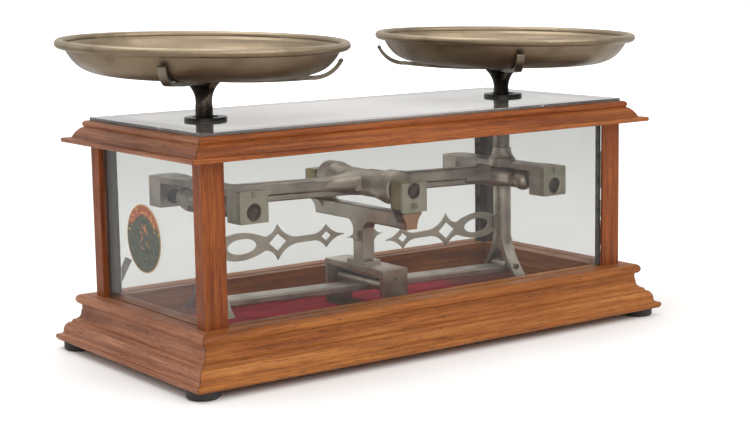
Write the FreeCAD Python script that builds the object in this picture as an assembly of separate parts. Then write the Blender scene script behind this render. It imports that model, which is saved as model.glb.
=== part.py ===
"""Glazed counter scale with two lift-off brass pans on a parallel-motion beam.

All lengths are millimetres. Origin: centre of the footprint on the table.
+X runs along the case towards the pan that hangs lower at rest, -Y is the
front pane and +Z is up. The mechanism is drawn level on the plane y = 0, set
to its rest tilt, so that the pan on the +X side sits low on the stop, and
then moved to its own centre plane.
"""
import math
import os

import FreeCAD
import Part

# ---- case -----------------------------------------------------------------
FOOT_R, FOOT_H = 13.0, 7.0
FOOT_X, FOOT_Y = 223.4, 101.7
BASE_X, BASE_Y = 224.3, 105.0          # half size over the base bead
BASE_BOTTOM, BASE_TOP = 7.0, 46.0
INNER_X, INNER_Y = 192.4, 76.0         # half size of the hollow inside the base
FLOOR_LOW, FLOOR_TOP = 11.0, 20.4
LINING_T = 0.8
POST_X, POST_Y = 212.4, 89.0           # outer faces of the corner posts
POST_W, POST_D = 20.0, 13.0
RAIL_X, RAIL_Y = 216.4, 94.7           # half size over the top bead
POST_BEVEL = {"front": (3.0, 3.0), "back": (4.6, 8.2)}    # inner edge, along X and Y
RAIL_BOTTOM, RAIL_TOP = 173.5, 191.2
MITRE_GAP = 0.05

# ---- glass ----------------------------------------------------------------
PANE_T = 2.8
PANE_X, PANE_Y = 208.4, 87.4           # outer faces of the upright panes
GROOVE_D = 3.0
GROOVE_PLAY = 0.3
TOP_PANE_X, TOP_PANE_Y, TOP_PANE_T = 212.0, 90.9, 2.6
GROMMET_R, GROMMET_BORE, GROMMET_H = 17.15, 10.5, 2.5
GROMMET_Y = 0.8
BADGE_R, BADGE_T = 27.3, 0.35
BADGE_Y, BADGE_Z = 10.1, 102.8

# ---- mechanism ------------------------------------------------------------
MECHANISM_Y = 3.0                      # centre plane of the mechanism in the case
ARM = 154.5                            # centre knife to end knife
KNIFE_Z = 126.3                        # the three knife lines, level
STAY_Z = 44.0                          # stay pivots, level
TILT = 1.45                            # rest tilt of beam and stay, degrees
BLOCK_W, BLOCK_OUT = 25.5, 71.0
HOLE_R = 6.25
END_LOW, END_TOP, END_IN, END_COVER = 114.5, 139.8, 51.4, 5.3
END_HOLE_Z, END_SCREW_Z, END_SCREW_R = 123.2, 136.8, 2.3
END_BACK, END_BULGE = 70.5, 73.5       # back ends of the carrier blocks
MID_LOW, MID_TOP, MID_IN, MID_COVER = 111.3, 135.8, 55.0, 2.5
MID_HOLE_Z, MID_SCREW_Z, MID_SCREW_R = 129.2, 116.5, 2.7
END_KNIFE, MID_KNIFE = (37.5, 60.5), (53.0, 62.0)
KNIFE_HALF = 2.6
CROSSBAR_LOW, CROSSBAR_TOP, CROSSBAR_Y = 96.5, 109.6, 67.0
COLUMN_Y = 2.0
BOX_X, BOX_Y, BOX_TOP, BOX_WALL = 13.0, 43.4, 59.5, 5.0
WAIST_LOW, LEG_R = 134.9, 8.0
POINTER_T, POINTER_Z = 1.8, 83.7
POINTER_DROP = {"left": 0.0, "right": -1.4}

# ---- pans -----------------------------------------------------------------
PAN_R, RIM_R = 112.6, 3.5
RIM_Z = {"left": 250.2, "right": 251.9}
PAN_LOW = -26.5                        # underside of the dish below the rim centre
PAN_T = {"left": 1.2, "right": 1.25}
PAN_LEAN = {"left": (1.6, 0.9), "right": (1.0, 1.0)}      # about X and Y, degrees
PAN_SHIFT = {"left": (-0.2, -1.3), "right": (2.2, -1.3)}  # the dish lies loose on its arms
STEM_R, STEM_LOW = 7.0, 151.0
SPIDER_T, SPIDER_W, SPIDER_GAP = 3.4, 6.6, 0.25
SPIDER_ARMS = (0.0, 93.0, 226.5)
SPIDER_TURN = {"left": -136.0, "right": 145.0}

V = FreeCAD.Vector
X_AXIS, Y_AXIS, Z_AXIS = V(1, 0, 0), V(0, 1, 0), V(0, 0, 1)
NORMAL = {"XZ": Y_AXIS, "YZ": X_AXIS, "XY": Z_AXIS}
SIDES = {"left": -1, "right": 1}
parts = {}


# ---- helpers --------------------------------------------------------------
def box(x0, x1, y0, y1, z0, z1):
    return Part.makeBox(x1 - x0, y1 - y0, z1 - z0, V(x0, y0, z0))


def rod_y(radius, y0, y1, x, z):
    return Part.makeCylinder(radius, y1 - y0, V(x, y0, z), Y_AXIS)


def rod_z(radius, z0, z1, x=0.0, y=0.0):
    return Part.makeCylinder(radius, z1 - z0, V(x, y, z0), Z_AXIS)


def cone_y(r0, r1, y0, y1, x, z):
    """Cone along Y; y1 may be smaller than y0."""
    direction = Y_AXIS if y1 > y0 else -Y_AXIS
    return Part.makeCone(r0, r1, abs(y1 - y0), V(x, y0, z), direction)


def fuse(shapes):
    return shapes[0].fuse(shapes[1:]).removeSplitter()


def cut(shape, tools):
    return shape.cut(tools)


def group(shapes):
    return Part.makeCompound(shapes)


def in_plane(plane, a, b, level):
    if plane == "XZ":
        return V(a, level, b)
    if plane == "YZ":
        return V(level, a, b)
    return V(a, b, level)


def outline(start, steps, plane, level):
    """Closed wire. A step of one point is a line, of two points an arc through the first."""
    here = in_plane(plane, start[0], start[1], level)
    edges = []
    for step in steps + [[start]]:
        there = in_plane(plane, step[-1][0], step[-1][1], level)
        if len(step) == 2:
            through = in_plane(plane, step[0][0], step[0][1], level)
            edges.append(Part.Arc(here, through, there).toShape())
        elif there.distanceToPoint(here) > 1e-6:
            edges.append(Part.makeLine(here, there))
        here = there
    return Part.Wire(edges)


def prism(start, steps, plane, low, high):
    face = Part.Face(outline(start, steps, plane, low))
    return face.extrude(NORMAL[plane] * (high - low))


def turned(start, steps):
    """Solid of revolution about Z from a half profile of (radius, z)."""
    face = Part.Face(outline(start, steps, "XZ", 0.0))
    return face.revolve(V(0, 0, 0), Z_AXIS, 360.0)


def rounded(shape, radius, along):
    """Fillet every straight edge that runs along the given axis."""
    edges = []
    for edge in shape.Edges:
        run = edge.Vertexes[-1].Point - edge.Vertexes[0].Point
        if run.Length > 0 and abs(abs(run.normalize().dot(along)) - 1) < 1e-6:
            edges.append(edge)
    return shape.makeFillet(radius, edges)


def mirrored_y(shape):
    return shape.mirror(V(0, 0, 0), Y_AXIS)


def screw_y(y_face, x, z, radius=2.9, height=1.1):
    """Slotted cheese head on a face that looks towards -Y."""
    head = rod_y(radius, y_face - height, y_face, x, z)
    slot = box(-radius, radius, y_face - height, y_face - height / 2, -0.35, 0.35)
    slot.rotate(V(0, 0, 0), Y_AXIS, 40)
    slot.translate(V(x, 0, z))
    return cut(head, [slot])


# ---- case -----------------------------------------------------------------
def base_profile(reach):
    """Stepped base moulding: lip, ovolo, step, cove and a bead at the top."""
    inner = INNER_Y if reach == BASE_Y else INNER_X
    start = (inner, BASE_BOTTOM)
    steps = [
        [(reach + 11.5, 7.0)],
        [(reach + 12.6, 8.3)],
        [(reach + 13.0, 10.0), (reach + 12.5, 11.8)],
        [(reach + 9.3, 12.5), (reach + 8.0, 15.0)],
        [(reach + 7.5, 18.4), (reach + 5.8, 21.0)],
        [(reach + 4.6, 22.0), (reach + 3.1, 22.3)],
        [(reach + 1.9, 24.8)],
        [(reach - 1.9, 26.9), (reach - 3.1, 30.8)],
        [(reach - 4.0, 34.6)],
        [(reach - 3.75, 37.6)],
        [(reach, 41.6), (reach - 3.9, BASE_TOP)],
        [(inner, BASE_TOP)],
    ]
    return start, steps


def rail_profile(reach):
    """Top rail: flat lip, ovolo, undercut, low bead and a flat top that carries the glass."""
    inner = INNER_Y if reach == RAIL_Y else INNER_X
    start = (inner, RAIL_BOTTOM)
    steps = [
        [(reach + 12.7, RAIL_BOTTOM)],
        [(reach + 13.4, 175.2), (reach + 12.9, 177.0)],
        [(reach + 7.0, 177.2)],
        [(reach + 6.5, 178.0)],
        [(reach + 4.5, 181.7), (reach + 1.3, 185.0)],
        [(reach - 0.9, 186.2)],
        [(reach, 189.0), (reach - 2.3, RAIL_TOP)],
        [(inner, RAIL_TOP)],
    ]
    return start, steps


def mitred_side(profile, reach, other, pane_face, groove_half, groove_z, turn):
    """One side of a frame, drawn on the +Y side and turned into place."""
    start, steps = profile(reach)
    length = other + 30.0
    bar = prism(start, steps, "YZ", -length, length)
    offset = other - reach - MITRE_GAP
    near, far = 60.0, reach + 30.0
    corners = [(near + offset, near), (far + offset, far), (-far - offset, far)]
    wedge = prism((-near - offset, near), [[c] for c in corners], "XY", 0.0, 220.0)
    groove = box(-groove_half, groove_half, pane_face - PANE_T - GROOVE_PLAY,
                 pane_face + GROOVE_PLAY, groove_z, groove_z + GROOVE_D)
    side = cut(bar.common(wedge), [groove])
    side.rotate(V(0, 0, 0), Z_AXIS, turn)
    return side


def frame_of_four(name, profile, half_x, half_y, groove_z):
    for side, turn in (("back", 0), ("front", 180)):
        parts[f"{name}_{side}"] = mitred_side(
            profile, half_y, half_x, PANE_Y, POST_X - POST_W, groove_z, turn)
    for side, turn in (("left", 90), ("right", -90)):
        parts[f"{name}_{side}"] = mitred_side(
            profile, half_x, half_y, PANE_X, POST_Y - POST_D, groove_z, turn)


def corner_post(sx, sy, bevel_x, bevel_y):
    """Post with a bevel on the edge that faces into the case."""
    inner_x, inner_y = POST_X - POST_W, POST_Y - POST_D
    corners = [(POST_X, POST_Y), (inner_x, POST_Y), (inner_x, inner_y + bevel_y),
               (inner_x + bevel_x, inner_y), (POST_X, inner_y)]
    placed = [(sx * x, sy * y) for x, y in corners]
    return prism(placed[0], [[p] for p in placed[1:]], "XY", BASE_TOP, RAIL_BOTTOM)


def case():
    frame_of_four("base", base_profile, BASE_X, BASE_Y, BASE_TOP - GROOVE_D)
    frame_of_four("top", rail_profile, RAIL_X, RAIL_Y, RAIL_BOTTOM)
    board = box(-INNER_X, INNER_X, -INNER_Y, INNER_Y, FLOOR_LOW, FLOOR_TOP)
    parts["floor_board"] = board
    lining = box(-INNER_X + 0.2, INNER_X - 0.2, -INNER_Y + 0.2, INNER_Y - 0.2,
                 FLOOR_TOP, FLOOR_TOP + LINING_T)
    footprint = box(-BOX_X - 0.2, BOX_X + 0.2, MECHANISM_Y - BOX_Y - 0.2,
                    MECHANISM_Y + BOX_Y + 0.2, FLOOR_TOP, FLOOR_TOP + LINING_T)
    parts["velvet_lining"] = cut(lining, [footprint])
    for x_name, sx in SIDES.items():
        for y_name, sy in (("front", -1), ("back", 1)):
            post = corner_post(sx, sy, *POST_BEVEL[y_name])
            parts[f"post_{y_name}_{x_name}"] = rounded(post, 0.7, Z_AXIS)
    corners = [(sx * FOOT_X, sy * FOOT_Y) for sx in (-1, 1) for sy in (-1, 1)]
    feet, screws = [], []
    for x, y in corners:
        foot = turned((0, 0), [[(FOOT_R - 1.5, 0)], [(FOOT_R, 1.5)], [(FOOT_R, FOOT_H)], [(0, FOOT_H)]])
        foot.translate(V(x, y, 0))
        feet.append(cut(foot, [rod_z(4.0, -1.0, 3.0, x, y)]))
        screws.append(rod_z(3.6, 1.4, 3.0, x, y))
    parts["rubber_feet"] = group(feet)
    parts["foot_screws"] = group(screws)


def glazing():
    low = BASE_TOP - GROOVE_D + 0.1
    high = RAIL_BOTTOM + GROOVE_D - 0.1
    half_x = POST_X - POST_W - 0.2
    half_y = POST_Y - POST_D - 0.2
    front = box(-half_x, half_x, -PANE_Y, -PANE_Y + PANE_T, low, high)
    left = box(-PANE_X, -PANE_X + PANE_T, -half_y, half_y, low, high)
    parts["glass_front"] = front
    parts["glass_back"] = mirrored_y(front)
    parts["glass_left"] = left
    parts["glass_right"] = left.mirror(V(0, 0, 0), X_AXIS)
    top = box(-TOP_PANE_X, TOP_PANE_X, -TOP_PANE_Y, TOP_PANE_Y, RAIL_TOP, RAIL_TOP + TOP_PANE_T)
    holes = [rod_z(13.0, 180, 200, sx * ARM, GROMMET_Y) for sx in (-1, 1)]
    parts["glass_top"] = cut(rounded(top, 1.5, Z_AXIS), holes)
    x_in, y_in = POST_X - POST_W, PANE_Y - PANE_T
    strips = []
    for sx in (-1, 1):
        strips.append([(sx * x_in, -y_in), (sx * (x_in - 1.1), -y_in), (sx * x_in, -y_in + 4.6)])
        strips.append([(sx * x_in, y_in), (sx * (x_in - 2.2), y_in), (sx * (x_in + 1.2), y_in - 3.6),
                       (sx * (x_in - 0.1), y_in - 0.8)])
    strips = [prism(c[0], [[p] for p in c[1:]], "XY", BASE_TOP, RAIL_BOTTOM) for c in strips]
    parts["glazing_putty"] = group(strips)
    under, face = RAIL_TOP, RAIL_TOP + TOP_PANE_T + 0.05
    for side, sx in SIDES.items():
        bush = turned((GROMMET_BORE, under - 2.5), [
            [(16.0, under - 2.5)], [(16.0, under - 0.05)], [(12.8, under - 0.05)],
            [(12.8, face)], [(GROMMET_R, face)], [(GROMMET_R, face + GROMMET_H - 0.8)],
            [(GROMMET_R - 0.3, face + GROMMET_H - 0.2), (GROMMET_R - 1.0, face + GROMMET_H)],
            [(GROMMET_BORE, face + GROMMET_H)]])
        bush.translate(V(sx * ARM, GROMMET_Y, 0))
        parts[f"{side}_grommet"] = bush
    parts["badge"] = Part.makeCylinder(BADGE_R, BADGE_T, V(-PANE_X, BADGE_Y, BADGE_Z), -X_AXIS)
    parts["pane_strip"] = prism((-189.9, 55.4), [
        [(-180.1, 72.4)], [(-185.8, 75.7)], [(-189.9, 67.3)]], "XZ", y_in - 0.9, y_in)


# ---- pedestal -------------------------------------------------------------
def bearing(hole_z, seat_z, above, y_in, knife_end, y_end):
    """Plug in a block's hole: a seat beside the knife and a full disc outside it."""
    plug = rod_y(HOLE_R - 0.05, y_in, y_end, 0, hole_z)
    low, high = (hole_z - 9, seat_z) if above else (seat_z, hole_z + 9)
    room = box(-9, 9, y_in - 1, knife_end + 0.6, low, high)
    return cut(plug, [room])


def cover_plate(low, high, hole_z, thickness):
    """Nickelled cover on the front of a block, with the hole for its bearing."""
    half = BLOCK_W / 2
    plate = box(-half, half, -BLOCK_OUT, -BLOCK_OUT + thickness - 0.1, low, high)
    plate = rounded(plate, 0.8, Y_AXIS)
    rim = cone_y(HOLE_R + 0.9, HOLE_R, -BLOCK_OUT, -BLOCK_OUT + 0.9, 0, hole_z)
    return cut(plate, [rod_y(HOLE_R, -BLOCK_OUT - 1, -BLOCK_OUT + 8, 0, hole_z), rim])


def index_point(sx):
    """Small fixed arrow on one side of the column."""
    z = POINTER_Z
    start, *rest = [(sx * x, z + dz) for x, dz in (
        (6.15, -5.1), (10.0, -4.3), (12.5, -1.7), (18.2, -0.25), (18.2, 0.25),
        (12.5, 1.7), (10.0, 4.3), (6.15, 5.1))]
    steps = [[rest[0]], [rest[1], rest[2]], [rest[3]], [rest[4], rest[5]], [rest[6]]]
    return prism(start, steps, "XZ", -1, 1)


def pedestal():
    shell = rounded(box(-BOX_X, BOX_X, -BOX_Y, BOX_Y, FLOOR_TOP, BOX_TOP), 1.2, Z_AXIS)
    room = box(-BOX_X - 1, BOX_X + 1, -BOX_Y + BOX_WALL, BOX_Y - BOX_WALL,
               FLOOR_TOP - 1, BOX_TOP - 4.5)
    pin_holes = rod_y(2.6, -BOX_Y + 1.5, BOX_Y - 1.5, 0, STAY_Z)
    parts["pedestal_base"] = cut(shell, [room, pin_holes])

    low, y = CROSSBAR_LOW, COLUMN_Y
    bar = rounded(box(-6, 6, 2 - CROSSBAR_Y, CROSSBAR_Y - 2, low, CROSSBAR_TOP), 1.5, Y_AXIS)
    column = rounded(box(-6.15, 6.15, y - 7.5, y + 7.5, BOX_TOP, low + 3), 1.0, Z_AXIS)
    web = prism((y - 17, low + 1), [
        [(y + 17, low + 1)], [(y + 9.2, low - 3.0), (y + 7.4, low - 12.0)], [(y - 7.4, low - 12.0)],
        [(y - 9.2, low - 3.0), (y - 17, low + 1)]], "YZ", -5.9, 5.9)
    foot = rounded(box(-9, 9, y - 13, y + 13, BOX_TOP, BOX_TOP + 3.0), 1.0, Z_AXIS)
    shoe = prism((-11, CROSSBAR_TOP), [
        [(11, CROSSBAR_TOP)], [(7.0, 104.5), (5.4, low)], [(-5.4, low)],
        [(-7.0, 104.5), (-11, CROSSBAR_TOP)]], "XZ", -CROSSBAR_Y, -MID_IN)
    parts["pedestal_column"] = fuse([bar, column, web, foot, shoe, mirrored_y(shoe)])

    half = BLOCK_W / 2
    back = BLOCK_OUT - MID_COVER
    body = prism((-half + 5, CROSSBAR_TOP), [
        [(half - 5, CROSSBAR_TOP)], [(half, CROSSBAR_TOP + 4.5)], [(half, MID_TOP + 0.6)],
        [(-half, MID_TOP + 0.6)], [(-half, CROSSBAR_TOP + 4.5)]], "XZ", -back, -MID_IN)
    front_body = cut(body, [rod_y(HOLE_R, -back - 1, -MID_IN + 1, 0, MID_HOLE_Z)])
    parts["centre_blocks"] = group([front_body, mirrored_y(front_body)])
    cover = cover_plate(MID_LOW, MID_TOP, MID_HOLE_Z, MID_COVER)
    parts["centre_covers"] = group([cover, mirrored_y(cover)])
    seat = bearing(MID_HOLE_Z, KNIFE_Z - 0.1, False, MID_IN, MID_KNIFE[1], BLOCK_OUT - 2.6)
    parts["centre_bearings"] = group([seat, mirrored_y(seat)])
    screw = screw_y(-BLOCK_OUT, 0, MID_SCREW_Z, MID_SCREW_R)
    parts["centre_block_screws"] = group([screw, mirrored_y(screw)])
    parts["index_points"] = group([index_point(-1), index_point(1)])

    dots = [rod_y(1.9, -BOX_Y - 0.7, -BOX_Y, 0, 51.6), rod_y(1.9, BOX_Y, BOX_Y + 0.7, 0, 51.6)]
    for offset in (-10.9, 10.9):
        dots.append(rod_z(1.9, BOX_TOP + 3.0, BOX_TOP + 4.4, 0, y + offset))
    dots.append(Part.makeCylinder(2.5, 1.6, V(-6.15, 4.6, POINTER_Z - 2.2), -X_AXIS))
    parts["pedestal_screws"] = group(dots)


# ---- beam and stay --------------------------------------------------------
def middle_arm():
    """Thick cross arm at the centre knives, swelling to a drum beside each block."""
    z, drum_in, drum_out = 129.5, 38.0, MID_KNIFE[0]
    shapes = [rod_y(11.5, -drum_in, drum_in, 0, z)]
    for sy in (-1, 1):
        shapes.append(cone_y(11.5, 14.6, sy * 22.0, sy * drum_in, 0, z))
        y0, y1 = sorted((sy * drum_in, sy * (drum_out - 1.5)))
        shapes.append(rod_y(14.6, y0, y1, 0, z))
        shapes.append(cone_y(14.6, 13.1, sy * (drum_out - 1.5), sy * drum_out, 0, z))
    for sx in (-1, 1):
        shapes.append(Part.makeCone(10.8, 5.4, 36.0, V(sx * 8.0, 0, 129.6), X_AXIS * sx))
    return shapes


def end_arm(x):
    """Slimmer cross arm at the end knives, with a ball at each end and a ring round the leg."""
    z, ball_r, ball_y, y_end = 124.4, 9.3, 29.2, END_KNIFE[0]
    shapes = [rod_y(8.0, -ball_y, ball_y, x, z)]
    room = box(x - 12, x + 12, -y_end, y_end, z - 12, z + 12)
    for sy in (-1, 1):
        shapes.append(Part.makeSphere(ball_r, V(x, sy * ball_y, z)).common(room))
    ring = turned((10.0, 117.6), [
        [(14.5, 117.0)], [(18.8, 119.4), (20.0, 125.0)], [(18.8, 130.8), (14.5, 133.2)], [(10.0, 132.8)]])
    ring.translate(V(x, 0, 0))
    inward = -1 if x > 0 else 1
    root = Part.makeCone(7.4, 5.2, 34.0, V(x + inward * 12.0, 0, 125.6), X_AXIS * inward)
    return shapes + [ring, root]


def flare(x, long_x, wide_y, arm_half, spine_half, low, high):
    """Web with four hollow-curved corners where the spine meets a cross arm."""
    bend_x = arm_half + (long_x - arm_half) * 0.22
    bend_y = spine_half + (wide_y - spine_half) * 0.22
    start = (x - arm_half, -wide_y)
    steps = [[(x + arm_half, -wide_y)], [(x + bend_x, -bend_y), (x + long_x, -spine_half)],
             [(x + long_x, spine_half)], [(x + bend_x, bend_y), (x + arm_half, wide_y)],
             [(x - arm_half, wide_y)], [(x - bend_x, bend_y), (x - long_x, spine_half)],
             [(x - long_x, -spine_half)], [(x - bend_x, -bend_y), start]]
    return prism(start, steps, "XY", low, high)


def knives(x, edge_up, root_z, reach):
    """A pair of knife bars, front and back, with the edge on the knife line."""
    sign = -1 if edge_up else 1
    shapes = []
    for y0, y1 in ((-reach[1], -reach[0]), reach):
        shapes.append(prism((x, KNIFE_Z), [
            [(x + KNIFE_HALF, KNIFE_Z + sign * 4.2)], [(x + KNIFE_HALF, root_z)],
            [(x - KNIFE_HALF, root_z)], [(x - KNIFE_HALF, KNIFE_Z + sign * 4.2)]], "XZ", y0, y1))
    return group(shapes)


def beam():
    cap = rounded(box(-136, 136, -5.4, 5.4, 124.6, 136.0), 2.6, X_AXIS)
    rib = rounded(box(-137, 137, -3.4, 3.4, 119.8, 126.0), 1.2, X_AXIS)
    shapes = [cap, rib, flare(0, 30.0, 25.0, 9.0, 5.0, 124.0, 134.0)]
    shapes += middle_arm()
    for sx in (-1, 1):
        x = sx * ARM
        shapes += end_arm(x)
        shapes.append(flare(x, 28.0, 22.0, 8.4, 5.0, 120.2, 130.6).common(rod_z(27.0, 110, 140, x)))
    casting = fuse(shapes)
    holes = [rod_z(10.6, 100, 150, sx * ARM) for sx in (-1, 1)]
    outside = [box(ARM + 20.0, ARM + 40, -50, 50, 100, 150),
               box(-ARM - 40, -ARM - 20.0, -50, 50, 100, 150)]
    parts["beam_casting"] = cut(casting, holes + outside)
    parts["centre_knives"] = knives(0, False, 133.2, MID_KNIFE)
    parts["left_knives"] = knives(-ARM, True, 119.4, END_KNIFE)
    parts["right_knives"] = knives(ARM, True, 119.4, END_KNIFE)


def stay():
    bar = rounded(box(-ARM + 3, ARM - 3, -10, 10, 37.5, 43.8), 1.5, X_AXIS)
    shapes = [bar, rod_y(5.2, -36, 36, 0, STAY_Z), rod_y(2.5, -BOX_Y + 1.8, BOX_Y - 1.8, 0, STAY_Z)]
    for sx in (-1, 1):
        shapes.append(rod_y(5.0, -9, 9, sx * ARM, STAY_Z))
        shapes.append(rod_y(2.3, -21, 21, sx * ARM, STAY_Z))
    parts["stay"] = fuse(shapes)


# ---- carriers -------------------------------------------------------------
def carrier_frame(pointer_side):
    """Socket, cross bar with the two bearing blocks, leg and forked foot."""
    half = BLOCK_W / 2
    front_y = BLOCK_OUT - END_COVER
    socket = turned((0, WAIST_LOW), [
        [(12.2, WAIST_LOW)], [(12.2, 141.4)], [(9.6, 144.8), (8.5, STEM_LOW)], [(0, STEM_LOW)]])
    waist = prism((-half, -front_y), [
        [(half, -front_y)], [(half, -END_IN)], [(9.2, -36), (9.0, -14)], [(9.0, 14)],
        [(9.2, 36), (half, END_IN)], [(half, END_BACK)], [(0, END_BULGE), (-half, END_BACK)],
        [(-half, END_IN)], [(-9.2, 36), (-9.0, 14)], [(-9.0, -14)], [(-9.2, -36), (-half, -END_IN)]],
        "XY", WAIST_LOW, END_TOP)
    front = box(-half, half, -front_y, -END_IN, END_LOW, END_TOP)
    back = prism((-half, END_IN), [
        [(half, END_IN)], [(half, END_BACK)], [(0, END_BULGE), (-half, END_BACK)]],
        "XY", END_LOW, END_TOP)
    leg = rod_z(LEG_R, 62.0, END_TOP)
    fork = prism((-5.4, 72), [
        [(5.4, 72)], [(11.8, 54.5), (29.0, 33)], [(21.5, 33)], [(10.5, 48.5), (4.6, 56.5)],
        [(0, 59.0), (-4.6, 56.5)], [(-10.5, 48.5), (-21.5, 33)], [(-29.0, 33)],
        [(-11.8, 54.5), (-5.4, 72)]], "YZ", -5.8, 5.8)
    lug_x = sorted((pointer_side * 5.0, pointer_side * 12.8))
    lug = box(lug_x[0], lug_x[1], -3.2, -POINTER_T / 2, 78.2, 89.2)
    body = fuse([socket, waist, front, back, leg, fork, lug])
    holes = [rod_y(HOLE_R, -front_y - 1, -END_IN + 1, 0, END_HOLE_Z),
             rod_y(HOLE_R, END_IN - 1, 66.0, 0, END_HOLE_Z),
             rod_y(2.4, -40, 40, 0, STAY_Z)]
    return cut(body, holes)


def pointer(side):
    """Pierced pointer from the leg towards the pedestal: loop, large and small star, tip."""
    upper = [
        [(19.0, 10.4), (31.0, 11.4)], [(43.0, 9.4), (52.8, 5.8)],
        [(61.8, 9.2), (65.6, 14.9)], [(71.6, 7.7), (86.5, 2.7)], [(100.4, 2.6)],
        [(110.1, 5.6), (114.1, 9.7)], [(119.8, 4.4), (132.1, 0.4)]]
    start = (8.6, 5.8)
    steps = [list(step) for step in upper]
    nodes = [start] + [step[-1] for step in upper]
    steps.append([(nodes[-1][0], -nodes[-1][1])])
    for index in range(len(upper) - 1, -1, -1):
        back = (nodes[index][0], -nodes[index][1])
        through = [(p[0], -p[1]) for p in upper[index][:-1]]
        steps.append(through + [back])
    y0, y1 = -POINTER_T / 2, POINTER_T / 2
    plate = prism(start, steps, "XZ", y0, y1)
    ellipse = Part.Ellipse(V(31, y0 - 1, 0), 14.2, 6.3)
    loop = Part.Face(Part.Wire([ellipse.toShape()]))
    loop.rotate(V(31, y0 - 1, 0), X_AXIS, 90)
    holes = [loop.extrude(V(0, 4, 0))]
    for x, wide, tall in ((65.6, 9.0, 7.6), (114.1, 5.2, 4.3)):
        holes.append(prism((x - wide, 0), [[(x, tall)], [(x + wide, 0)], [(x, -tall)]],
                           "XZ", y0 - 1, y1 + 1))
    plate = cut(plate, holes)
    if side == "right":
        plate = plate.mirror(V(0, 0, 0), X_AXIS)
    plate.rotate(V(0, 0, 0), Y_AXIS, POINTER_DROP[side])
    plate.translate(V(0, 0, POINTER_Z))
    return plate


def stem(head):
    """Turned stem with a trumpet head that carries the spider."""
    return turned((0, STEM_LOW), [
        [(STEM_R, STEM_LOW)], [(STEM_R, head - 20.0)],
        [(8.5, head - 7.5), (13.6, head - 0.6)], [(13.6, head)], [(0, head)]])


def spider(turn):
    """Three flat arms that follow the pan's underside and turn up clear of its wall."""
    pan_low = PAN_LOW - SPIDER_GAP
    shapes = [rod_z(12.5, pan_low - SPIDER_T, pan_low)]
    for angle in SPIDER_ARMS:
        arm = prism((4.0, pan_low - SPIDER_T), [
            [(4.0, pan_low)], [(50.0, pan_low + 0.7), (86.0, -23.6)],
            [(101.0, -19.2), (108.2, -11.6)], [(109.3, -9.6), (111.2, -10.0)],
            [(111.6, -11.4), (110.8, -12.6)], [(103.2, -21.6), (86.6, -26.6)],
            [(50.0, pan_low + 0.7 - SPIDER_T), (14.0, pan_low - SPIDER_T)]],
            "XZ", -SPIDER_W / 2, SPIDER_W / 2)
        arm.rotate(V(0, 0, 0), Z_AXIS, turn + angle)
        shapes.append(arm)
    return fuse(shapes)


def dish_curve(thickness):
    """Smooth half profile of the dish, moved inwards by the thickness of the sheet."""
    shape = [(6.0, PAN_LOW, 0.0), (30.0, -26.2, 0.01), (55.0, -25.4, 0.03), (75.0, -24.2, 0.09),
             (88.0, -22.0, 0.3), (97.5, -17.6, 0.62), (104.0, -11.2, 0.86), (108.6, -3.2, 0.96)]
    points = []
    for radius, z, lean in shape:
        points.append(V(radius - lean * thickness, 0, z + math.sqrt(1 - lean * lean) * thickness))
    curve = Part.BSplineCurve()
    curve.interpolate(points)
    return curve.toShape(), points


def pan(thickness):
    """Spun dish with a steep wall, a softly curved floor and a rolled rim."""
    outer, low = dish_curve(0.0)
    inner, high = dish_curve(thickness)
    bottom, floor = V(0, 0, low[0].z), V(0, 0, high[0].z)
    rolled = V(PAN_R - RIM_R + 1.0, 0, 0.6)
    loop = [Part.makeLine(bottom, low[0]), outer, Part.makeLine(low[-1], rolled),
            Part.makeLine(rolled, high[-1]), inner, Part.makeLine(high[0], floor),
            Part.makeLine(floor, bottom)]
    face = Part.Face(Part.Wire(Part.__sortEdges__(loop)))
    dish = face.revolve(V(0, 0, 0), Z_AXIS, 360.0)
    rim = Part.makeTorus(PAN_R, RIM_R, V(0, 0, 0), Z_AXIS)
    return dish.fuse(rim)


def leaned(shape, side):
    """Lift a shape from rim height 0 to its place on the stem and lean it with the spider."""
    seat = V(0, 0, RIM_Z[side] + PAN_LOW - SPIDER_GAP - SPIDER_T)
    shape.translate(V(0, 0, RIM_Z[side]))
    shape.rotate(seat, X_AXIS, PAN_LEAN[side][0])
    shape.rotate(seat, Y_AXIS, PAN_LEAN[side][1])
    return shape


def carrier(side):
    toward_centre = -SIDES[side]
    arms = leaned(spider(SPIDER_TURN[side]), side)
    dish = leaned(pan(PAN_T[side]), side)
    dish.translate(V(PAN_SHIFT[side][0], PAN_SHIFT[side][1], 0))
    parts[f"{side}_carrier_frame"] = carrier_frame(toward_centre)
    parts[f"{side}_stem"] = cut(stem(RIM_Z[side] + PAN_LOW - SPIDER_GAP - SPIDER_T), [arms])
    parts[f"{side}_spider"] = arms
    parts[f"{side}_cover"] = cover_plate(END_LOW, END_TOP, END_HOLE_Z, END_COVER)
    seat_z, knife_end = KNIFE_Z + 0.1, END_KNIFE[1]
    front = bearing(END_HOLE_Z, seat_z, True, END_IN, knife_end, BLOCK_OUT - 2.6)
    back = bearing(END_HOLE_Z, seat_z, True, END_IN, knife_end, 65.6)
    parts[f"{side}_bearings"] = group([mirrored_y(front), back])
    parts[f"{side}_block_screw"] = screw_y(-BLOCK_OUT, 0, END_SCREW_Z, END_SCREW_R)
    parts[f"{side}_pointer"] = pointer(side)
    face = POINTER_T / 2
    x = toward_centre * 10.8
    heads = [rod_y(1.5, face, face + 0.8, x, POINTER_Z + dz) for dz in (-2.9, 2.9)]
    parts[f"{side}_pointer_screws"] = group(heads)
    parts[f"{side}_pan"] = dish


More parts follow.
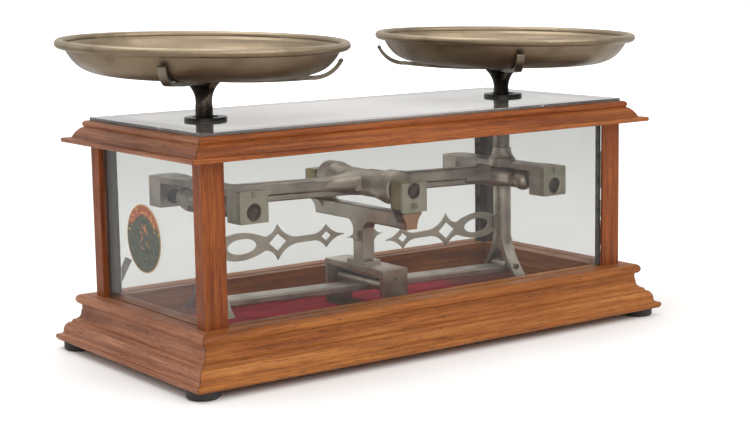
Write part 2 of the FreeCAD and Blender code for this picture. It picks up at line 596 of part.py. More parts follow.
# ---- rest position --------------------------------------------------------
BEAM_PARTS = ("beam_casting", "centre_knives", "left_knives", "right_knives")
CARRIER_PARTS = ("carrier_frame", "stem", "spider", "cover", "bearings", "block_screw",
                 "pointer", "pointer_screws", "pan")
PEDESTAL_PARTS = ("pedestal_base", "pedestal_column", "centre_blocks", "centre_covers",
                  "centre_bearings", "centre_block_screws", "index_points", "pedestal_screws")


def set_rest_tilt():
    """Turn beam and stay about their pivots and carry each carrier and pan along upright."""
    angle = math.radians(TILT)
    for name in BEAM_PARTS:
        parts[name].rotate(V(0, 0, KNIFE_Z), Y_AXIS, TILT)
    parts["stay"].rotate(V(0, 0, STAY_Z), Y_AXIS, TILT)
    for side, sx in SIDES.items():
        place = V(sx * ARM * math.cos(angle), 0, -sx * ARM * math.sin(angle))
        for item in CARRIER_PARTS:
            parts[f"{side}_{item}"].translate(place)


def move_to_centre_plane():
    names = list(BEAM_PARTS + PEDESTAL_PARTS) + ["stay"]
    names += [f"{side}_{item}" for side in SIDES for item in CARRIER_PARTS]
    for name in names:
        parts[name].translate(V(0, MECHANISM_Y, 0))


def main():
    case()
    glazing()
    pedestal()
    beam()
    stay()
    for side in SIDES:
        carrier(side)
    set_rest_tilt()
    move_to_centre_plane()
    os.makedirs("parts", exist_ok=True)
    for name, shape in parts.items():
        shape.exportStep(f"parts/{name}.step")
    print(len(parts), "parts")


main()
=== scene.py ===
"""Looks for the glazed counter scale: materials, velvet lining, printed transfer, light and camera."""

import math

import bmesh
import bpy
from mathutils import Matrix, Vector, noise

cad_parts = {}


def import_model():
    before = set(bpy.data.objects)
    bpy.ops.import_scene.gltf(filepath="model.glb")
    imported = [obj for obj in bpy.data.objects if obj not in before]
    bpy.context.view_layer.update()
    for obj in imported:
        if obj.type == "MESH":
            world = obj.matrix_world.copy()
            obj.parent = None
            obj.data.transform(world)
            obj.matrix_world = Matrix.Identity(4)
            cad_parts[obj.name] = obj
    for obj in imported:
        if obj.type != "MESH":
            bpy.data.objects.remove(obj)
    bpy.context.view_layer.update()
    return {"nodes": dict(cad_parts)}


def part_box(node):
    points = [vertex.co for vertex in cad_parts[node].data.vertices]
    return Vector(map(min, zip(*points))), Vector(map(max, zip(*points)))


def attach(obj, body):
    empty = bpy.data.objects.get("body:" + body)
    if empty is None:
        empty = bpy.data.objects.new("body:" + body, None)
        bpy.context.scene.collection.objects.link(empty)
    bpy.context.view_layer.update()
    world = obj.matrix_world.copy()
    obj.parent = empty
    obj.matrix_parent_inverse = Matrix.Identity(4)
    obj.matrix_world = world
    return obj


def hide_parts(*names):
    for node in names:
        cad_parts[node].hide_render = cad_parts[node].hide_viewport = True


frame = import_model()
NODES = frame["nodes"]

# ---- colours (linear) ------------------------------------------------------
# Woods: dark, middle and light streaks.
FRONT = ((0.140, 0.037, 0.008), (0.335, 0.108, 0.024), (0.480, 0.188, 0.047))
RAIL = ((0.120, 0.027, 0.006), (0.295, 0.080, 0.018), (0.410, 0.138, 0.034))
POST = ((0.092, 0.019, 0.005), (0.245, 0.060, 0.013), (0.350, 0.105, 0.025))
# Left end copy: greyer and paler than the front, painted sheen from light glancing off the left ends.
LEFT_END_PAINTED_SHEEN = ((0.150, 0.048, 0.022), (0.330, 0.128, 0.062), (0.450, 0.200, 0.105))
FLOOR_WOOD = ((0.09, 0.045, 0.02), (0.19, 0.10, 0.05), (0.30, 0.17, 0.09))
MITRE_LINE = (0.03, 0.010, 0.005)
GRIME = ((0.030, 0.031, 0.028), (0.085, 0.082, 0.072))

# Metals whose colour is built up in layers; a pair is the two colours of the clouding.
BARE_COPPER = (0.36, 0.165, 0.085)
BRASS = ((0.255, 0.210, 0.150), (0.185, 0.150, 0.104))
BRASS_STAIN = (0.13, 0.085, 0.05)
BRASS_FRESH = (0.34, 0.275, 0.175)
BRASS_LINE = (0.11, 0.088, 0.058)
BRASS_PIT = (0.08, 0.06, 0.04)
# Painted shade and light on the pans: the first darkens faces turned down, the second brightens faces
# turned up.
BRASS_PAINTED_UNDERSIDE_SHADE, BRASS_PAINTED_BOWL_LIGHT = (0.74, 0.66, 0.58), (1.34, 1.29, 1.24)
STEM_NICKEL = ((0.27, 0.24, 0.20), (0.17, 0.155, 0.13))
STEM_BLACK = ((0.014, 0.012, 0.011), (0.045, 0.036, 0.030))
STEM_RUBBED = (0.34, 0.27, 0.20)

# Glass, velvet and the transfer.
GLASS_TINT, GLASS_SHADE = (0.905, 0.91, 0.90), (0.9, 0.92, 0.91)
DUST = (0.62, 0.60, 0.57)
VELVET = ((0.38, 0.008, 0.026), (0.60, 0.018, 0.050))
VELVET_ROOTS = (0.14, 0.006, 0.018)
VELVET_BROWN = (0.10, 0.055, 0.035)
VELVET_SHEEN = (0.95, 0.12, 0.18)
TRANSFER_GROUND = ((0.020, 0.026, 0.019), (0.070, 0.082, 0.056))
TRANSFER_RINGS = (0.110, 0.105, 0.060)
TRANSFER_HEART = (0.50, 0.19, 0.05)
TRANSFER_ARC = (0.34, 0.060, 0.020)
TRANSFER_GILT, TRANSFER_RIM = (0.60, 0.36, 0.09), (0.46, 0.26, 0.06)

# Stage. The floor is a little darker through the panes, as it is behind old glass.
WHITE, WARM_WHITE = (1.0, 1.0, 1.0), (1.0, 0.985, 0.96)
SKY = (1.0, 0.995, 0.985)
FLOOR_PALE = ((0.93, 0.93, 0.93), (0.955, 0.955, 0.955))
FLOOR_THROUGH_GLASS = (0.63, 0.63, 0.62)

# ---- sizes (metres) --------------------------------------------------------
# The velvet turns brown between these two values of x.
BROWN_FROM, BROWN_TO = 0.112, 0.135
VELVET_THICKNESS = 0.0006
VELVET_GRID = 0.004
VELVET_INSET = 0.0006
VELVET_HOLE_GAP = 0.0004
VELVET_HEIGHT, VELVET_WAVE = 0.00045, 0.00022
# Plating is worn to copper this far in from the front end of the pedestal's cross bar.
COPPER_DEPTH = 0.008
# The floor's half width, and the distances over which it fades to white.
FLOOR_HALF = 6.0
FLOOR_NEAR, FLOOR_FAR = 0.9, 2.6

# Camera: place in metres, turns in degrees, lens and sensor in millimetres, clipping in metres.
CAMERA_PLACE = Vector((-0.81366, -1.13373, 0.31661))
CAMERA_YAW, CAMERA_PITCH, CAMERA_ROLL = math.radians(35.98), math.radians(8.62), math.radians(-0.93)
CAMERA_LENS, CAMERA_SENSOR = 79.17, 36.0
CAMERA_CLIP = (0.05, 50.0)

# Area lamps: name, place, target, size, power in watts, colour.
LAMPS = (
    ("key", (0.7, -1.7, 1.5), (0.0, 0.0, 0.1), (2.2, 1.6), 26.0, WARM_WHITE),
    ("fill", (-1.3, -1.9, 0.8), (0.0, 0.0, 0.08), (1.8, 1.2), 11.0, WARM_WHITE),
    ("overhead", (-0.3, 0.3, 1.9), (0.0, 0.0, 0.1), (1.8, 1.4), 20.0, WHITE),
)


# ---- node helpers ----------------------------------------------------------
def rgba(value):
    """A colour with full alpha; anything else, such as a socket, as it is."""
    if isinstance(value, tuple) and len(value) == 3:
        return (*value, 1.0)
    return value


def smooth_range(tree, value, low, high, out_low, out_high):
    """Smooth step of a socket from low..high to out_low..out_high."""
    made = tree.nodes.new("ShaderNodeMapRange")
    made.interpolation_type = "SMOOTHSTEP"
    tree.links.new(value, made.inputs["Value"])
    for socket, number in zip(("From Min", "From Max", "To Min", "To Max"),
                              (low, high, out_low, out_high)):
        made.inputs[socket].default_value = number
    return made.outputs["Result"]


class Shader:
    """A material under construction, with short calls for the nodes that it needs."""

    def __init__(self, name):
        self.material = bpy.data.materials.new(name)
        self.material.use_nodes = True
        self.tree = self.material.node_tree
        self.bsdf = self.tree.nodes["Principled BSDF"]
        self.output = self.tree.nodes["Material Output"]
        self.coords = self.tree.nodes.new("ShaderNodeTexCoord").outputs["Object"]

    def node(self, kind, **settings):
        made = self.tree.nodes.new(kind)
        for key, value in settings.items():
            setattr(made, key, value)
        return made

    def feed(self, socket, value):
        if isinstance(value, bpy.types.NodeSocket):
            self.tree.links.new(value, socket)
        elif value is not None:
            socket.default_value = value

    def scaled(self, scale, vector=None, move=(0, 0, 0)):
        mapping = self.node("ShaderNodeMapping")
        self.feed(mapping.inputs["Vector"], vector or self.coords)
        mapping.inputs["Scale"].default_value = scale
        mapping.inputs["Location"].default_value = move
        return mapping.outputs["Vector"]

    def shifted(self, move, vector=None):
        return self.scaled((1, 1, 1), vector, move)

    def noise(self, scale=1.0, vector=None, detail=4.0, rough=0.55, distortion=0.0):
        made = self.node("ShaderNodeTexNoise")
        self.feed(made.inputs["Vector"], vector or self.coords)
        made.inputs["Scale"].default_value = scale
        made.inputs["Detail"].default_value = detail
        made.inputs["Roughness"].default_value = rough
        made.inputs["Distortion"].default_value = distortion
        return made.outputs["Fac"]

    def span(self, value, low, high, out_low=0.0, out_high=1.0):
        return smooth_range(self.tree, value, low, high, out_low, out_high)

    def math(self, operation, first, second=None):
        made = self.node("ShaderNodeMath", operation=operation)
        self.feed(made.inputs[0], first)
        self.feed(made.inputs[1], second)
        return made.outputs[0]

    def blend(self, factor, first, second, mode="MIX"):
        made = self.node("ShaderNodeMix", data_type="RGBA", blend_type=mode)
        self.feed(made.inputs["Factor"], factor)
        self.feed(made.inputs["A"], rgba(first))
        self.feed(made.inputs["B"], rgba(second))
        return made.outputs["Result"]

    def ramp(self, factor, stops):
        made = self.node("ShaderNodeValToRGB")
        self.feed(made.inputs["Fac"], factor)
        elements = made.color_ramp.elements
        while len(elements) < len(stops):
            elements.new(0.5)
        for element, (place, colour) in zip(elements, stops):
            element.position = place
            element.color = rgba(colour)
        return made.outputs["Color"]

    def split(self, vector=None):
        made = self.node("ShaderNodeSeparateXYZ")
        self.feed(made.inputs[0], vector or self.coords)
        return made.outputs

    def bump(self, height, strength, distance):
        made = self.node("ShaderNodeBump")
        self.feed(made.inputs["Height"], height)
        made.inputs["Strength"].default_value = strength
        made.inputs["Distance"].default_value = distance
        self.feed(self.bsdf.inputs["Normal"], made.outputs["Normal"])

    def set(self, **values):
        for key, value in values.items():
            self.feed(self.bsdf.inputs[key.replace("_", " ")], value)


# ---- materials -------------------------------------------------------------
def wood(name, axis, dark, middle, light, gloss=0.42, offset=0.0, mitre=None, inside=None):
    """Figured hardwood: long streaks, fine fibres and dark pores along one axis, under worn varnish.

    mitre is |x| - |y| on the corner joints; inside is the x and y within which a post is grimy.
    """
    s = Shader(name)

    def along(length, cross):
        scale = [cross] * 3
        scale[axis] = length
        return s.scaled(tuple(scale), move=(offset, offset * 0.7, offset * 1.3))

    bands = s.noise(1.0, along(2.6, 34.0), 5.0, 0.6, 0.9)
    streaks = s.noise(1.0, along(7.0, 210.0), 4.0, 0.62, 0.3)
    fibres = s.noise(1.0, along(26.0, 950.0), 3.0, 0.6)
    pores = s.noise(1.0, along(95.0, 1500.0), 2.0, 0.5)
    figure = s.math("ADD", s.math("MULTIPLY", bands, 0.5), s.math("MULTIPLY", streaks, 0.5))
    colour = s.ramp(figure, [(0.36, dark), (0.5, middle), (0.64, light)])
    colour = s.blend(s.span(fibres, 0.34, 0.66, 0.0, 0.55), colour, dark)
    holes = s.span(pores, 0.58, 0.7)
    colour = s.blend(s.math("MULTIPLY", holes, 0.7), colour, tuple(c * 0.3 for c in dark))
    blotch = s.span(s.noise(1.0, along(9.0, 46.0), 4.0, 0.6, 0.5), 0.56, 0.74)
    colour = s.blend(s.math("MULTIPLY", blotch, 0.5), colour, dark)
    worn = s.span(s.noise(9.0, detail=5.0), 0.42, 0.72)
    colour = s.blend(s.math("MULTIPLY", worn, 0.18), colour, light)
    if mitre is not None:
        x, y, _ = s.split()
        gap = s.math("SUBTRACT", s.math("ABSOLUTE", x), s.math("ABSOLUTE", y))
        gap = s.math("ABSOLUTE", s.math("SUBTRACT", gap, mitre))
        colour = s.blend(s.span(gap, 0.0002, 0.0009, 0.6, 0.0), colour, MITRE_LINE)
    if inside is not None:
        x, y, _ = s.split()
        fade = 0.0004
        within_x, within_y = (s.span(s.math("ABSOLUTE", place), limit - fade, limit, 1.0, 0.0)
                              for place, limit in zip((x, y), inside))
        grime = s.blend(s.noise(90.0, detail=5.0), *GRIME)
        within = s.math("MULTIPLY", within_x, within_y)
        colour = s.blend(s.math("MULTIPLY", within, 0.93), colour, grime)
    s.set(Base_Color=colour, Roughness=s.span(s.noise(40.0), 0.3, 0.75, gloss, gloss + 0.16))
    s.bsdf.inputs["Specular IOR Level"].default_value = 0.2
    relief = s.math("SUBTRACT", s.math("MULTIPLY", fibres, 0.35), s.math("MULTIPLY", holes, 0.6))
    s.bump(relief, 0.32, 0.0004)
    return s.material


def metal(name, base, second, rough, patch=22.0, grain=0.2, tint=None, front=None):
    """Worn plated or bare metal with clouded colour, fine pitting and uneven gloss.

    tint is the colour of warm stains; in front of the y called front the plating is worn to copper.
    """
    s = Shader(name)
    clouds = s.span(s.noise(patch, detail=6.0, rough=0.62, distortion=0.4), 0.36, 0.68)
    colour = s.blend(clouds, base, second)
    if tint:
        warm = s.span(s.noise(patch * 0.8, s.shifted((3.1, 1.7, 0.4)), 5.0), 0.55, 0.72)
        colour = s.blend(s.math("MULTIPLY", warm, 0.55), colour, tint)
    if front is not None:
        ragged = s.math("ADD", s.split()[1], s.math("MULTIPLY", s.noise(120.0), 0.006))
        bare = s.span(ragged, front, front + 0.003, 1.0, 0.0)
        colour = s.blend(s.math("MULTIPLY", bare, 0.8), colour, BARE_COPPER)
    specks = s.span(s.noise(520.0, detail=2.0), 0.62, 0.75)
    colour = s.blend(s.math("MULTIPLY", specks, 0.5), colour, tuple(c * 0.35 for c in base))
    s.set(Base_Color=colour, Metallic=1.0,
          Roughness=s.span(s.noise(patch * 3.0, detail=5.0), 0.3, 0.7, rough[0], rough[1]))
    s.bump(s.math("ADD", s.noise(300.0, detail=4.0), s.math("MULTIPLY", s.noise(60.0), 0.8)), grain, 0.0005)
    return s.material


def spun_brass(name, centre):
    """Dull spun brass: turning lines round the pan's axis, brown patina, stains and small pits, with
    painted shade on faces turned down and painted light on faces turned up.
    """
    s = Shader(name)
    local = s.shifted((-centre[0], -centre[1], -centre[2]))
    x, y, z = s.split(local)
    radius = s.math("SQRT", s.math("ADD", s.math("MULTIPLY", x, x), s.math("MULTIPLY", y, y)))
    turns = s.node("ShaderNodeCombineXYZ")
    lines_per_metre = 620.0
    s.feed(turns.inputs[0], s.math("MULTIPLY", radius, lines_per_metre))
    s.feed(turns.inputs[1], s.math("MULTIPLY", z, lines_per_metre))
    s.feed(turns.inputs[2], s.math("MULTIPLY", s.math("ARCTAN2", y, x), 0.6))
    lines = s.noise(1.0, turns.outputs[0], 3.0, 0.6)
    clouds = s.span(s.noise(15.0, local, 6.0, 0.6, 0.7), 0.34, 0.68)
    colour = s.blend(clouds, *BRASS)
    stains = s.span(s.noise(30.0, s.shifted((0.31, 0.12, 0.4), local), 6.0, 0.65), 0.58, 0.76)
    colour = s.blend(s.math("MULTIPLY", stains, 0.55), colour, BRASS_STAIN)
    fresh = s.span(s.noise(24.0, s.shifted((0.9, 0.45, 0.2), local), 6.0, 0.6), 0.6, 0.8)
    colour = s.blend(s.math("MULTIPLY", fresh, 0.5), colour, BRASS_FRESH)
    colour = s.blend(s.span(lines, 0.4, 0.62, 0.0, 0.14), colour, BRASS_LINE)
    specks = s.span(s.noise(700.0, detail=2.0), 0.66, 0.76)
    colour = s.blend(s.math("MULTIPLY", specks, 0.5), colour, BRASS_PIT)
    # Painted shade on faces turned down and painted light on faces turned up.
    facing = s.split(s.node("ShaderNodeNewGeometry").outputs["Normal"])[2]
    painted_light_upward = s.span(facing, -0.25, 0.35)
    colour = s.blend(painted_light_upward, s.blend(1.0, colour, BRASS_PAINTED_UNDERSIDE_SHADE, "MULTIPLY"),
                     s.blend(1.0, colour, BRASS_PAINTED_BOWL_LIGHT, "MULTIPLY"))
    s.set(Base_Color=colour, Metallic=0.88)
    s.set(Roughness=s.span(s.noise(34.0, local, 5.0), 0.3, 0.72, 0.36, 0.54))
    s.bump(s.math("ADD", s.math("MULTIPLY", lines, 0.6), s.noise(240.0, detail=3.0)), 0.14, 0.0004)
    return s.material


def clear_glass(name, haze, haze_scale, index):
    """Old clear glass with a faint film of dust; lamps reach what is behind it."""
    s = Shader(name)
    film = s.span(s.noise(haze_scale, detail=5.0, rough=0.6), 0.35, 0.75, haze * 0.35, haze)
    smears = s.noise(1.0, s.scaled((14.0, 60.0, 60.0)), 4.0)
    s.set(Base_Color=rgba(GLASS_TINT), Roughness=0.0)
    s.bsdf.inputs["Transmission Weight"].default_value = 1.0
    s.bsdf.inputs["IOR"].default_value = index
    s.bump(smears, 0.03, 0.0006)
    dust = s.node("ShaderNodeBsdfDiffuse")
    dust.inputs["Color"].default_value = rgba(DUST)
    coated = s.node("ShaderNodeMixShader")
    s.feed(coated.inputs[0], film)
    s.feed(coated.inputs[1], s.bsdf.outputs[0])
    s.feed(coated.inputs[2], dust.outputs[0])
    clear = s.node("ShaderNodeBsdfTransparent")
    clear.inputs["Color"].default_value = rgba(GLASS_SHADE)
    path = s.node("ShaderNodeLightPath")
    mixed = s.node("ShaderNodeMixShader")
    s.feed(mixed.inputs[0], path.outputs["Is Shadow Ray"])
    s.feed(mixed.inputs[1], coated.outputs[0])
    s.feed(mixed.inputs[2], clear.outputs[0])
    s.feed(s.output.inputs["Surface"], mixed.outputs[0])
    return s.material


def stem_metal(glass_top):
    """Stem: worn nickel inside the case, blackened above the glass with patches rubbed to bare metal."""
    s = Shader("stem_metal")
    clouds = s.span(s.noise(60.0, detail=6.0, rough=0.62), 0.36, 0.68)
    nickel = s.blend(clouds, *STEM_NICKEL)
    black = s.blend(clouds, *STEM_BLACK)
    patches = s.span(s.noise(95.0, s.shifted((0.4, 0.9, 0.2)), 5.0, 0.65), 0.50, 0.62)
    upper = s.span(s.split()[2], glass_top + 0.008, glass_top + 0.022, 0.15, 1.0)
    rubbed = s.math("MULTIPLY", s.math("MULTIPLY", patches, upper), 0.8)
    black = s.blend(rubbed, black, STEM_RUBBED)
    ragged = s.math("MULTIPLY", s.math("SUBTRACT", s.noise(160.0), 0.5), 0.004)
    height = s.math("ADD", s.split()[2], ragged)
    above = s.span(height, glass_top - 0.004, glass_top - 0.002)
    s.set(Base_Color=s.blend(above, nickel, black), Metallic=0.85,
          Roughness=s.span(s.noise(150.0, detail=5.0), 0.3, 0.7, 0.34, 0.58))
    s.bump(s.noise(300.0, detail=4.0), 0.18, 0.0005)
    return s.material


def dull(name, base, second, rough, scale=60.0, grain=0.3):
    """Plain matt stuff such as rubber or putty, mottled and slightly rough."""
    s = Shader(name)
    clouds = s.span(s.noise(scale, detail=6.0), 0.32, 0.72)
    s.set(Base_Color=s.blend(clouds, base, second), Roughness=rough)
    s.bump(s.noise(scale * 8.0, detail=4.0), grain, 0.0006)
    return s.material


def velvet():
    """Crimson velvet with a brushed pile, brown at the right end."""
    s = Shader("velvet")
    pile = s.noise(1400.0, detail=3.0, rough=0.7)
    brushed = s.span(s.noise(1.0, s.scaled((26.0, 60.0, 60.0)), 5.0, 0.6, 0.8), 0.34, 0.68)
    colour = s.blend(brushed, *VELVET)
    x = s.split()[0]
    ragged = s.math("MULTIPLY", s.math("SUBTRACT", s.noise(28.0, detail=5.0), 0.5), 0.03)
    # Brown towards the right end, between x BROWN_FROM and BROWN_TO, with a ragged edge.
    brown_end = s.span(s.math("ADD", x, ragged), BROWN_FROM, BROWN_TO)
    colour = s.blend(s.math("MULTIPLY", brown_end, 0.85), colour, VELVET_BROWN)
    colour = s.blend(s.span(pile, 0.3, 0.7, 0.0, 0.4), colour, VELVET_ROOTS)
    s.set(Base_Color=colour, Roughness=0.95)
    s.bsdf.inputs["Sheen Weight"].default_value = 0.12
    s.bsdf.inputs["Sheen Roughness"].default_value = 0.45
    s.bsdf.inputs["Sheen Tint"].default_value = rgba(VELVET_SHEEN)
    s.bump(s.math("ADD", pile, s.math("MULTIPLY", brushed, 0.4)), 0.5, 0.0008)
    return s.material


def transfer(centre, radius):
    """Round transfer: mottled green-black ground, faint rings, a russet arc on top, worn gilt blotches."""
    s = Shader("transfer")
    local = s.shifted((0, -centre[1], -centre[2]))
    _, y, z = s.split(local)
    reach = s.math("SQRT", s.math("ADD", s.math("MULTIPLY", y, y), s.math("MULTIPLY", z, z)))
    share = s.math("DIVIDE", reach, radius)
    mottle = s.noise(230.0, detail=6.0, rough=0.7)
    ripple = s.math("SINE", s.math("MULTIPLY", share, 46.0))
    colour = s.blend(s.span(mottle, 0.35, 0.7), *TRANSFER_GROUND)
    colour = s.blend(s.span(ripple, 0.2, 1.0, 0.0, 0.35), colour, TRANSFER_RINGS)
    blots = s.span(s.noise(150.0, local, 3.0, 0.5, 0.6), 0.56, 0.66)
    heart = s.span(share, 0.26, 0.52, 1.0, 0.0)
    colour = s.blend(s.math("MULTIPLY", s.math("MULTIPLY", blots, heart), 0.85), colour, TRANSFER_HEART)
    height = s.math("DIVIDE", z, radius)
    arc = s.math("MULTIPLY", s.span(share, 0.66, 0.74), s.span(height, 0.28, 0.5))
    colour = s.blend(s.math("MULTIPLY", arc, 0.85), colour, TRANSFER_ARC)
    gilt = s.span(s.noise(420.0, local, 2.0), 0.55, 0.63)
    band = s.math("MULTIPLY", s.span(share, 0.62, 0.7), s.span(height, -0.1, 0.25))
    colour = s.blend(s.math("MULTIPLY", s.math("MULTIPLY", gilt, band), 0.7), colour, TRANSFER_GILT)
    edge = s.span(share, 0.955, 0.975)
    colour = s.blend(s.math("MULTIPLY", edge, 0.8), colour, TRANSFER_RIM)
    s.set(Base_Color=colour, Roughness=0.45)
    s.bump(mottle, 0.2, 0.0002)
    return s.material


# ---- materials on the nodes -------------------------------------------------
def centre_of(node):
    """Centre of a node's box."""
    low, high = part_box(node)
    return (low + high) / 2


def paint(node, material):
    """Put one material on a whole node."""
    slots = NODES[node].data.materials
    if len(slots) == 0:
        slots.append(material)
    for index in range(len(slots)):
        slots[index] = material


def materials():
    """Give every node its material; each length of moulding has grain of its own."""
    base_high, top_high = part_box("base_back")[1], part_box("top_back")[1]
    base_mitre, top_mitre = base_high.x - base_high.y, top_high.x - top_high.y
    inside = (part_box("glass_right")[0].x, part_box("glass_back")[0].y)
    woods = {
        "base_front": wood("base_front_wood", 0, *FRONT, offset=0.3, mitre=base_mitre),
        "base_back": wood("base_back_wood", 0, *FRONT, offset=1.1, mitre=base_mitre),
        # The left end of the base takes the greyer copy, with painted sheen in its colour.
        "base_left": wood("base_left_wood", 1, *LEFT_END_PAINTED_SHEEN, offset=2.3, mitre=base_mitre),
        "base_right": wood("base_right_wood", 1, *FRONT, offset=3.7, mitre=base_mitre),
        "top_front": wood("top_front_wood", 0, *RAIL, offset=4.9, mitre=top_mitre),
        "top_back": wood("top_back_wood", 0, *RAIL, offset=5.3, mitre=top_mitre),
        # The left top rail also takes the greyer copy, with painted sheen in its colour.
        "top_left": wood("top_left_wood", 1, *LEFT_END_PAINTED_SHEEN, offset=6.1, mitre=top_mitre),
        "top_right": wood("top_right_wood", 1, *RAIL, offset=7.7, mitre=top_mitre),
        "floor_board": wood("floor_wood", 0, *FLOOR_WOOD, gloss=0.6, offset=8.2),
    }
    for index, corner in enumerate(("front_left", "front_right", "back_left", "back_right")):
        node = f"post_{corner}"
        woods[node] = wood(f"{node}_wood", 2, *POST, offset=9.0 + index, inside=inside)
    for node, material in woods.items():
        paint(node, material)

    pane = clear_glass("pane_glass", haze=0.010, haze_scale=9.0, index=1.22)
    for side in ("front", "back", "left", "right"):
        paint(f"glass_{side}", pane)
    paint("glass_top", clear_glass("top_glass", haze=0.20, haze_scale=7.0, index=1.46))

    cast = metal("cast_nickel", (0.455, 0.403, 0.342), (0.272, 0.243, 0.208), (0.36, 0.54),
                 tint=(0.30, 0.17, 0.15))
    plate = metal("cover_nickel", (0.335, 0.310, 0.240), (0.228, 0.212, 0.164), (0.32, 0.48), grain=0.12)
    sheet = metal("pointer_nickel", (0.450, 0.403, 0.345), (0.310, 0.277, 0.236), (0.32, 0.48), grain=0.1)
    pedestal = metal("pedestal_nickel", (0.455, 0.412, 0.355), (0.300, 0.270, 0.232), (0.30, 0.50),
                     tint=(0.30, 0.135, 0.08))
    column = metal("column_nickel", (0.390, 0.350, 0.298), (0.255, 0.228, 0.192), (0.30, 0.50),
                   tint=(0.30, 0.135, 0.08), front=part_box("pedestal_column")[0].y + COPPER_DEPTH)
    brass = metal("block_brass", (0.29, 0.225, 0.115), (0.16, 0.120, 0.066), (0.34, 0.5), patch=60.0)
    # Dark steel on bearings and knives, darkened further as painted shade inside the bearing recesses.
    dark = metal("bearing_steel_recess_shade", (0.040, 0.030, 0.025), (0.125, 0.090, 0.072), (0.35, 0.6), patch=170.0)
    screw = metal("screw_steel", (0.30, 0.28, 0.21), (0.20, 0.185, 0.14), (0.3, 0.45), patch=150.0)
    stem = stem_metal(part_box("glass_top")[1].z)
    arms = metal("spider_steel", (0.20, 0.170, 0.125), (0.115, 0.100, 0.078), (0.34, 0.55), patch=60.0)
    ring = dull("black_ring", (0.006, 0.006, 0.006), (0.02, 0.02, 0.02), 0.32, 90.0, 0.08)
    rubber = dull("foot_rubber", (0.010, 0.010, 0.010), (0.028, 0.026, 0.024), 0.7)
    putty = dull("old_putty", (0.035, 0.036, 0.034), (0.16, 0.155, 0.145), 0.85, 120.0, 0.7)
    strip = dull("strip_grey", (0.36, 0.35, 0.33), (0.50, 0.48, 0.45), 0.7, 200.0, 0.4)
    owners = {
        "beam_casting": cast, "stay": cast, "centre_covers": plate, "centre_blocks": brass,
        "centre_bearings": dark, "centre_knives": dark, "left_knives": dark, "right_knives": dark,
        "centre_block_screws": screw, "pedestal_screws": screw, "foot_screws": screw,
        "pedestal_base": pedestal, "pedestal_column": column, "index_points": sheet,
        "glazing_putty": putty, "pane_strip": strip, "rubber_feet": rubber,
    }
    for side in ("left", "right"):
        owners.update({
            f"{side}_carrier_frame": cast, f"{side}_cover": plate, f"{side}_bearings": dark,
            f"{side}_block_screw": screw, f"{side}_pointer": sheet, f"{side}_pointer_screws": screw,
            f"{side}_stem": stem, f"{side}_spider": arms, f"{side}_grommet": ring,
            f"{side}_pan": spun_brass(f"{side}_pan_brass", centre_of(f"{side}_pan")),
        })
    for node, material in owners.items():
        paint(node, material)
    low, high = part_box("badge")
    paint("badge", transfer((low + high) / 2, (high.z - low.z) / 2))


# ---- velvet lining ---------------------------------------------------------
def spaced(start, end, step, stops):
    """Even values from start to end that also hit the given stops."""
    values = []
    marks = [start, *stops, end]
    for first, last in zip(marks, marks[1:]):
        count = max(1, round((last - first) / step))
        values += [first + (last - first) * k / count for k in range(count)]
    return values + [end]


def unevenness(x, y):
    """How the cloth lies, from about -1.5 to 1.5: broad waves and smaller ones on top of them."""
    broad = noise.noise(Vector((x * 34, y * 34, 0.5)))
    small = noise.noise(Vector((x * 90, y * 90, 3.0)))
    return broad + 0.5 * small


def lining():
    """The lining as a thin sheet laid on the floor board, with slight waves and a hole for the pedestal."""
    low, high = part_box("velvet_lining")
    hole_low, hole_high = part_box("pedestal_base")
    inset, gap = VELVET_INSET, VELVET_HOLE_GAP
    xs = spaced(low.x + inset, high.x - inset, VELVET_GRID, (hole_low.x - gap, hole_high.x + gap))
    ys = spaced(low.y + inset, high.y - inset, VELVET_GRID, (hole_low.y - gap, hole_high.y + gap))
    built = bmesh.new()
    grid = {}
    for i, x in enumerate(xs):
        for j, y in enumerate(ys):
            height = low.z + VELVET_HEIGHT + VELVET_WAVE * unevenness(x, y)
            grid[i, j] = built.verts.new((x, y, height))
    for i in range(len(xs) - 1):
        for j in range(len(ys) - 1):
            x, y = (xs[i] + xs[i + 1]) / 2, (ys[j] + ys[j + 1]) / 2
            if hole_low.x < x < hole_high.x and hole_low.y < y < hole_high.y:
                continue
            built.faces.new((grid[i, j], grid[i + 1, j], grid[i + 1, j + 1], grid[i, j + 1]))
    loose = [v for v in built.verts if not v.link_faces]
    bmesh.ops.delete(built, geom=loose, context="VERTS")
    mesh = bpy.data.meshes.new("velvet_sheet")
    built.to_mesh(mesh)
    built.free()
    for polygon in mesh.polygons:
        polygon.use_smooth = True
    piece = bpy.data.objects.new("velvet_sheet", mesh)
    bpy.context.scene.collection.objects.link(piece)
    solid = piece.modifiers.new("thickness", "SOLIDIFY")
    solid.thickness = VELVET_THICKNESS
    solid.offset = -1.0
    mesh.materials.append(velvet())
    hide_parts("velvet_lining")
    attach(piece, "case")


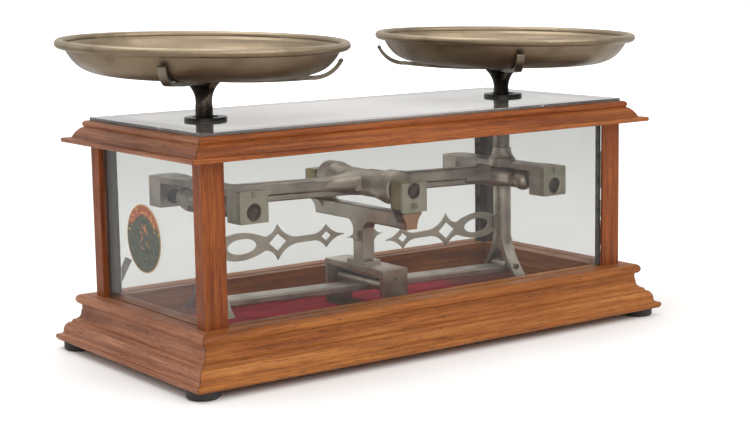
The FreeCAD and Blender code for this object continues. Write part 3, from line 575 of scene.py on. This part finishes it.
# ---- stage -----------------------------------------------------------------
def camera():
    """Camera at its place, turned by yaw and pitch, then rolled about its line of sight."""
    forward = Vector((math.sin(CAMERA_YAW) * math.cos(CAMERA_PITCH),
                      math.cos(CAMERA_YAW) * math.cos(CAMERA_PITCH), -math.sin(CAMERA_PITCH)))
    right = Vector((math.cos(CAMERA_YAW), -math.sin(CAMERA_YAW), 0.0))
    up = right.cross(forward)
    turned_right = right * math.cos(CAMERA_ROLL) + up * math.sin(CAMERA_ROLL)
    turned_up = up * math.cos(CAMERA_ROLL) - right * math.sin(CAMERA_ROLL)
    data = bpy.data.cameras.new("camera")
    data.lens = CAMERA_LENS
    data.sensor_width = CAMERA_SENSOR
    data.clip_start, data.clip_end = CAMERA_CLIP
    item = bpy.data.objects.new("camera", data)
    rotation = Matrix((turned_right, turned_up, -forward)).transposed()
    item.matrix_world = Matrix.Translation(CAMERA_PLACE) @ rotation.to_4x4()
    bpy.context.scene.collection.objects.link(item)
    bpy.context.scene.camera = item


def lamp(name, place, target, size, energy, colour):
    """Rectangular area lamp facing a target."""
    data = bpy.data.lights.new(name, "AREA")
    data.shape = "RECTANGLE"
    data.size, data.size_y = size
    data.energy = energy
    data.color = colour
    item = bpy.data.objects.new(name, data)
    item.location = place
    item.rotation_mode = "QUATERNION"
    item.rotation_quaternion = (Vector(target) - Vector(place)).to_track_quat("-Z", "Y")
    bpy.context.scene.collection.objects.link(item)


def world():
    """White sweep beyond the object, darker room behind the viewer, bright ceiling."""
    made = bpy.data.worlds.new("studio")
    made.use_nodes = True
    tree = made.node_tree
    tree.nodes.clear()
    output = tree.nodes.new("ShaderNodeOutputWorld")
    seen = tree.nodes.new("ShaderNodeBackground")
    seen.inputs["Color"].default_value = rgba(WHITE)
    lit = tree.nodes.new("ShaderNodeBackground")
    coords = tree.nodes.new("ShaderNodeTexCoord")
    axes = tree.nodes.new("ShaderNodeSeparateXYZ")
    tree.links.new(coords.outputs["Generated"], axes.inputs[0])
    sweep = smooth_range(tree, axes.outputs[1], -0.35, 0.45, 0.34, 1.0)
    ceiling = smooth_range(tree, axes.outputs[2], 0.25, 0.85, 0.0, 0.75)
    total = tree.nodes.new("ShaderNodeMath")
    total.operation = "MAXIMUM"
    tree.links.new(sweep, total.inputs[0])
    tree.links.new(ceiling, total.inputs[1])
    tree.links.new(total.outputs[0], lit.inputs["Strength"])
    lit.inputs["Color"].default_value = rgba(SKY)
    path = tree.nodes.new("ShaderNodeLightPath")
    mixed = tree.nodes.new("ShaderNodeMixShader")
    tree.links.new(path.outputs["Is Camera Ray"], mixed.inputs[0])
    tree.links.new(lit.outputs[0], mixed.inputs[1])
    tree.links.new(seen.outputs[0], mixed.inputs[2])
    tree.links.new(mixed.outputs[0], output.inputs["Surface"])
    bpy.context.scene.world = made


def floor():
    """Pale floor that fades to white well beyond the object."""
    mesh = bpy.data.meshes.new("floor")
    corners = [(x * FLOOR_HALF, y * FLOOR_HALF, 0) for x, y in ((-1, -1), (1, -1), (1, 1), (-1, 1))]
    mesh.from_pydata(corners, [], [(0, 1, 2, 3)])
    item = bpy.data.objects.new("floor", mesh)
    bpy.context.scene.collection.objects.link(item)
    s = Shader("floor_white")
    path = s.node("ShaderNodeLightPath")
    pale = s.blend(s.span(s.noise(3.0), 0.3, 0.7), *FLOOR_PALE)
    colour = s.blend(path.outputs["Is Transmission Ray"], pale, FLOOR_THROUGH_GLASS)
    s.set(Base_Color=colour, Roughness=0.7)
    far = s.node("ShaderNodeVectorMath", operation="LENGTH")
    s.feed(far.inputs[0], s.coords)
    s.bsdf.inputs["Emission Color"].default_value = rgba(WHITE)
    glow = s.math("ADD", s.math("MULTIPLY", path.outputs["Is Camera Ray"], 0.70), 0.05)
    distant = s.span(far.outputs["Value"], FLOOR_NEAR, FLOOR_FAR)
    s.set(Emission_Strength=s.math("MULTIPLY", distant, glow))
    mesh.materials.append(s.material)


def studio():
    """Colour view, world, floor and lamps."""
    view = bpy.context.scene.view_settings
    view.view_transform = "Standard"
    view.look = "None"
    world()
    floor()
    for values in LAMPS:
        lamp(*values)


materials()
lining()
studio()
camera()
